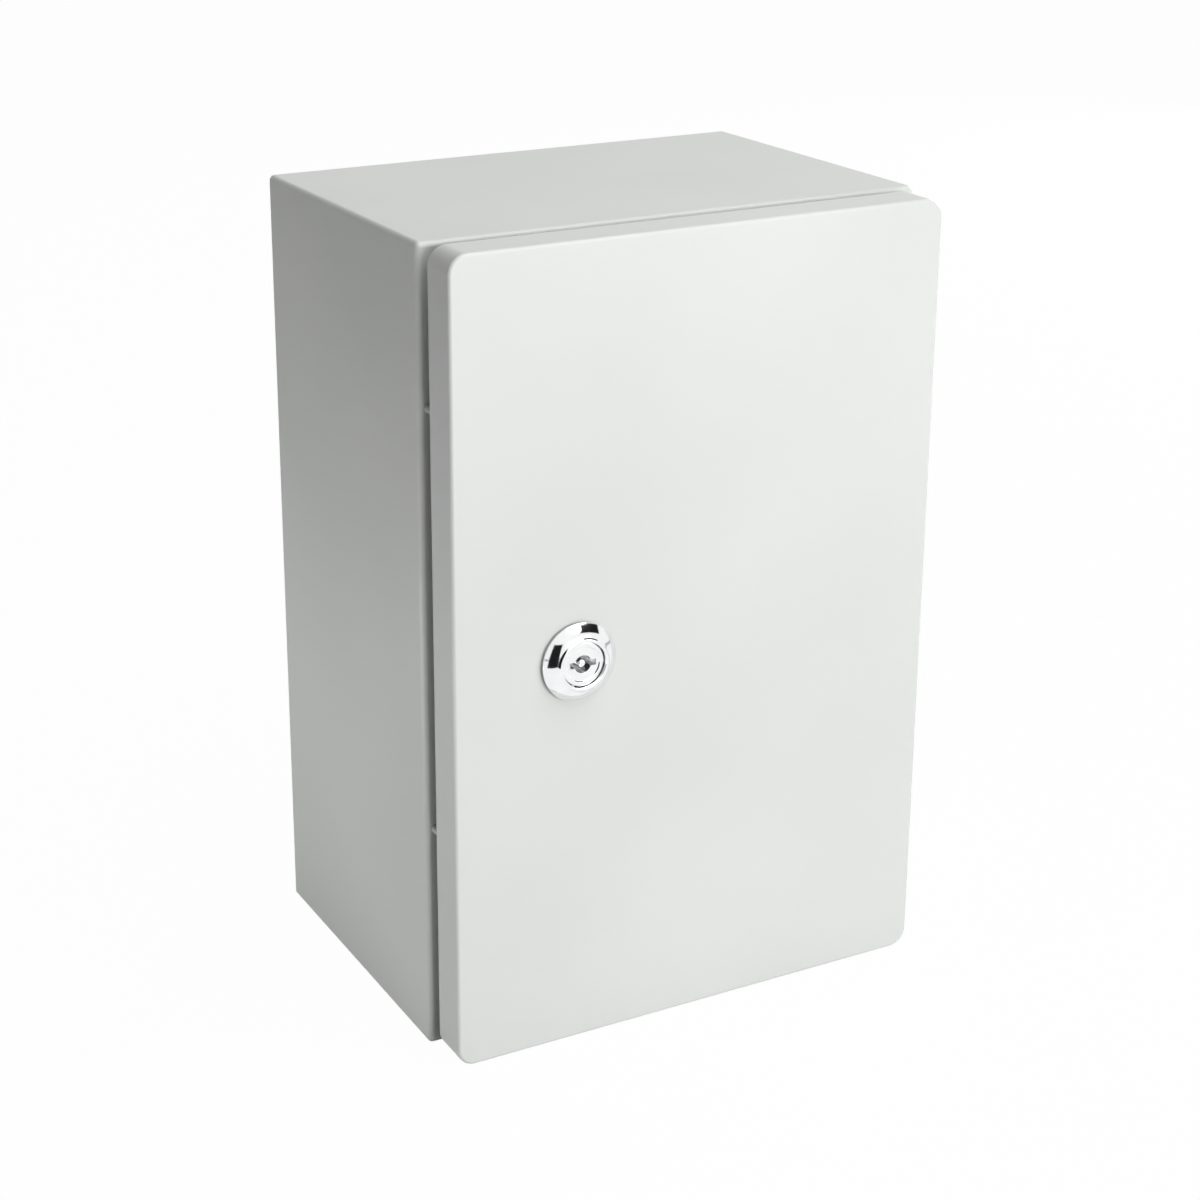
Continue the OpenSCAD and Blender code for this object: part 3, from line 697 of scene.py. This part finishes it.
def build_core():
    """The turning core: dished face, double-bit key socket with a domed centre pin, cam square."""
    face = core_low.y
    head_r, stem_r, square = 8.15 * MM, 7 * MM, 8 * MM
    head_h = 2.6 * MM
    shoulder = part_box("lock_cam")[0].y
    socket_r, wing_w, wing_span, depth = 3.3 * MM, 2.2 * MM, 10.4 * MM, 11 * MM
    pin_r, pin_dome_r = 1.5 * MM, 0.9 * MM
    pin_tip = face + 0.8 * MM
    dish_r, dish_h = 6.6 * MM, 0.35 * MM
    in_front = face - 1 * MM
    socket_end = face + depth
    mesh = bmesh.new()
    lathe(mesh, (lock_x, lock_z), filleted([
        (0, face + dish_h, 0), (dish_r - dish_h, face + dish_h, 0.1 * MM),
        (dish_r, face, 0.15 * MM), (head_r, face, 0.35 * MM), (head_r, face + head_h, 0.1 * MM),
        (stem_r, face + head_h, 0), (stem_r, shoulder, 0), (0, shoulder, 0)]), 96)
    core = to_object("core_blank", mesh)

    socket = bmesh.new()
    lathe(socket, (lock_x, lock_z), [(0, in_front), (socket_r, in_front),
                                     (socket_r, socket_end), (0, socket_end)], 64)
    cut(core, to_object("socket_cutter", socket))
    wings = bmesh.new()
    loft(wings, [[(lock_x + sx * wing_span / 2, y, lock_z + sz * wing_w / 2)
                  for sx, sz in ((1, 1), (-1, 1), (-1, -1), (1, -1))]
                 for y in (in_front, socket_end)], capped=True)
    cut(core, to_object("wing_cutter", wings))

    extra = bmesh.new()
    extra.from_mesh(core.data)
    broken_edges(extra, 0.12 * MM)
    lathe(extra, (lock_x, lock_z), filleted([
        (0, pin_tip, 0), (pin_r, pin_tip, pin_dome_r), (pin_r, socket_end, 0)]), 32)
    half = square / 2
    loft(extra, [[(lock_x + x, y, lock_z + z) for x, z in rounded_outline(half, half, 0.3 * MM, 3)]
                 for y in (shoulder, core_high.y)], capped=True)
    return dress(to_object("lock_core_finished", extra), "lock_core", sharp=40)


build_bezel()
build_core()
soften("lock_seal", 0.15)
soften("lock_nut", 0.25)
soften("lock_cam", 0.35)
soften("cam_screw", 0.2)


# ---------------------------------------------------------------- stage, light and camera

# How bright the floor, the world and the cards are; "seen" is by the camera, "mirrored" by mirrors
FLOOR_SEEN = 0.98
FLOOR_MIRRORED = 0.35
WORLD_LEVEL = 0.06
WORLD_SEEN = 1.0
WORLD_MIRRORED = 1.0
WHITE_LEVEL = 1.0
BLACK_LEVEL = 0.012

# Places and sizes on the stage, in metres
FLOOR_SIZE = (12, 12)
FLOOR_DROP = 0.2 * MM
CARD_SIZE = (3.0, 1.85)
CARD_Y = -1.1
CARD_RISE = 2 * MM

# Black flags: the azimuth and elevation of each corner in degrees, seen from the lock
UPPER_FLAG = ((26, 38), (48, 56), (86, 28), (66, 18))
UPPER_FLAG_AWAY = 0.6
SIDE_FLAG = ((-24, -17), (-21, 28), (-48, 31), (-60, -18))
SIDE_FLAG_AWAY = 0.25

# Softboxes: name, place, the point it aims at, its width and height, and its power in watts
SOFTBOXES = (
    ("front_softbox", (0.5, -1.75, 0.22), (0, -0.1, -0.08), (1.3, 1.1), 22),
    ("top_softbox", (0.4, -0.7, 1.5), (0, -0.1, 0), (1.2, 1.2), 18),
    ("low_card", (-0.42, -0.02, -0.135), (-0.1, -0.07, -0.15), (0.5, 0.025), 0.46),
    ("back_softbox", (1.75, 0.8, 0.45), (0, -0.05, 0), (1, 1), 20),
)

# Camera: millimetres for the lens and sensor, metres for the place, degrees for the angles
LENS = 71.1468
SENSOR = 36
CAMERA_SHIFT = (0.0583, -0.1065)
CAMERA_PLACE = (-0.41718, -0.82231, 0.32023)
CAMERA_AZIMUTH = -27.41
CAMERA_ELEVATION = 18.15
CAMERA_ROLL = -0.16


def toward(azimuth, elevation):
    """Unit vector at an azimuth from -Y towards +X and an elevation, both in degrees."""
    az, el = math.radians(azimuth), math.radians(elevation)
    return Vector((math.sin(az) * math.cos(el), -math.cos(az) * math.cos(el), math.sin(el)))


def seen_level(tree, plain, camera, mirror):
    """A brightness that is plain for diffuse light, and set apart for the camera and mirrors."""
    path = add(tree, "LightPath")
    to_camera = add(tree, "MapRange", [("Value", path.outputs["Is Camera Ray"])],
                    To_Min=plain, To_Max=camera)
    to_mirror = add(tree, "MapRange", [("Value", path.outputs["Is Glossy Ray"])],
                    To_Min=0.0, To_Max=mirror - plain)
    total = add(tree, "Math", [(0, to_camera.outputs["Result"]), (1, to_mirror.outputs["Result"])],
                operation="ADD")
    return total.outputs["Value"]


def pale_stage(name):
    """Matt pale paint on board, lifted almost to white for the camera and part way for mirrors."""
    made, tree, shader, place = new_material(name, Roughness=0.9)
    cloud = noise(tree, place, 400, detail=1.0)
    tree.links.new(shade_between(tree, cloud, "#D6D6D6", "#DADADA"), shader.inputs["Base Color"])
    glow = add(tree, "Emission", Color=(1, 1, 1, 1), Strength=1.0)
    blend = add(tree, "MixShader", [("Fac", seen_level(tree, 0.0, FLOOR_SEEN, FLOOR_MIRRORED)),
                                    (1, shader.outputs["BSDF"]), (2, glow.outputs["Emission"])])
    tree.links.new(blend.outputs["Shader"], tree.nodes["Material Output"].inputs["Surface"])
    return made


def card_paint(name, level):
    """Plain card that shines evenly at one level, white or near black."""
    made = bpy.data.materials.new(name)
    made.use_nodes = True
    tree = made.node_tree
    glow = add(tree, "Emission", Color=(1, 1, 1, 1), Strength=level)
    tree.links.new(glow.outputs["Emission"], tree.nodes["Material Output"].inputs["Surface"])
    return made


def sheet_object(name, size, place, material):
    """A rectangle of the stage that lies flat, a half turn round so that its clouds lie right."""
    mesh = bmesh.new()
    bmesh.ops.create_grid(mesh, x_segments=1, y_segments=1, size=0.5)
    bmesh.ops.scale(mesh, vec=(size[0], size[1], 1), verts=mesh.verts)
    data = bpy.data.meshes.new(name)
    mesh.to_mesh(data)
    mesh.free()
    made = bpy.data.objects.new(name, data)
    made.matrix_world = Matrix.Translation(place) @ Matrix.Rotation(math.pi, 4, "Z")
    bpy.context.scene.collection.objects.link(made)
    made.data.materials.append(material)
    return made


def seen_by_mirrors(card):
    """Leaves a card to mirror rays alone: it shapes what the chrome reflects and lights nothing."""
    card.visible_camera = False
    card.visible_diffuse = False
    card.visible_shadow = False
    card.visible_transmission = False


def black_flag(name, corners, distance, material):
    """A black card cut to the azimuths and elevations its corners have, seen from the lock."""
    mesh = bmesh.new()
    mesh.faces.new([mesh.verts.new(toward(*corner) * distance) for corner in corners])
    flag = to_object(name, mesh)
    flag.location = (lock_x, bezel_low.y, lock_z)
    bpy.context.scene.collection.objects.link(flag)
    flag.data.materials.append(material)
    seen_by_mirrors(flag)


def build_stage():
    """The floor, a white card that lies before the door, and two flags that give chrome depth."""
    floor_place = (0, 0, wrap_low.z - FLOOR_DROP)
    sheet_object("floor", FLOOR_SIZE, floor_place, pale_stage("white_board"))
    white_card = card_paint("white_card", WHITE_LEVEL)
    black_card = card_paint("black_card", BLACK_LEVEL)
    card_place = (0, CARD_Y, wrap_low.z + CARD_RISE)
    seen_by_mirrors(sheet_object("front_card", CARD_SIZE, card_place, white_card))
    black_flag("upper_flag", UPPER_FLAG, UPPER_FLAG_AWAY, black_card)
    black_flag("side_flag", SIDE_FLAG, SIDE_FLAG_AWAY, black_card)


def softbox(name, place, aim, size, power):
    """A rectangular lamp that the camera doesn't see."""
    lamp = bpy.data.lights.new(name, "AREA")
    lamp.shape = "RECTANGLE"
    lamp.size, lamp.size_y = size
    lamp.energy = power
    made = bpy.data.objects.new(name, lamp)
    made.location = place
    made.rotation_euler = (Vector(aim) - Vector(place)).to_track_quat("-Z", "Y").to_euler()
    made.visible_camera = False
    bpy.context.scene.collection.objects.link(made)


def build_world():
    """An even white surround that lights faintly and looks white to the camera and mirrors."""
    world = bpy.data.worlds.new("studio")
    bpy.context.scene.world = world
    world.use_nodes = True
    tree = world.node_tree
    background = tree.nodes["Background"]
    background.inputs["Color"].default_value = (1, 1, 1, 1)
    tree.links.new(seen_level(tree, WORLD_LEVEL, WORLD_SEEN, WORLD_MIRRORED),
                   background.inputs["Strength"])


def build_camera():
    """The camera, turned to its azimuth and elevation and then rolled a little."""
    camera_data = bpy.data.cameras.new("camera")
    camera_data.sensor_width = SENSOR
    camera_data.lens = LENS
    camera_data.shift_x, camera_data.shift_y = CAMERA_SHIFT
    camera = bpy.data.objects.new("camera", camera_data)
    bpy.context.scene.collection.objects.link(camera)
    bpy.context.scene.camera = camera
    backward = toward(CAMERA_AZIMUTH, CAMERA_ELEVATION)
    right = Vector((-backward.y, backward.x, 0)).normalized()
    up = backward.cross(right)
    roll = math.radians(CAMERA_ROLL)
    rolled_right = right * math.cos(roll) + up * math.sin(roll)
    rolled_up = up * math.cos(roll) - right * math.sin(roll)
    turn = Matrix((rolled_right, rolled_up, backward)).transposed().to_4x4()
    camera.matrix_world = Matrix.Translation(CAMERA_PLACE) @ turn


build_stage()
for row in SOFTBOXES:
    softbox(*row)
build_world()
build_camera()

bpy.context.scene.view_settings.view_transform = "Standard"
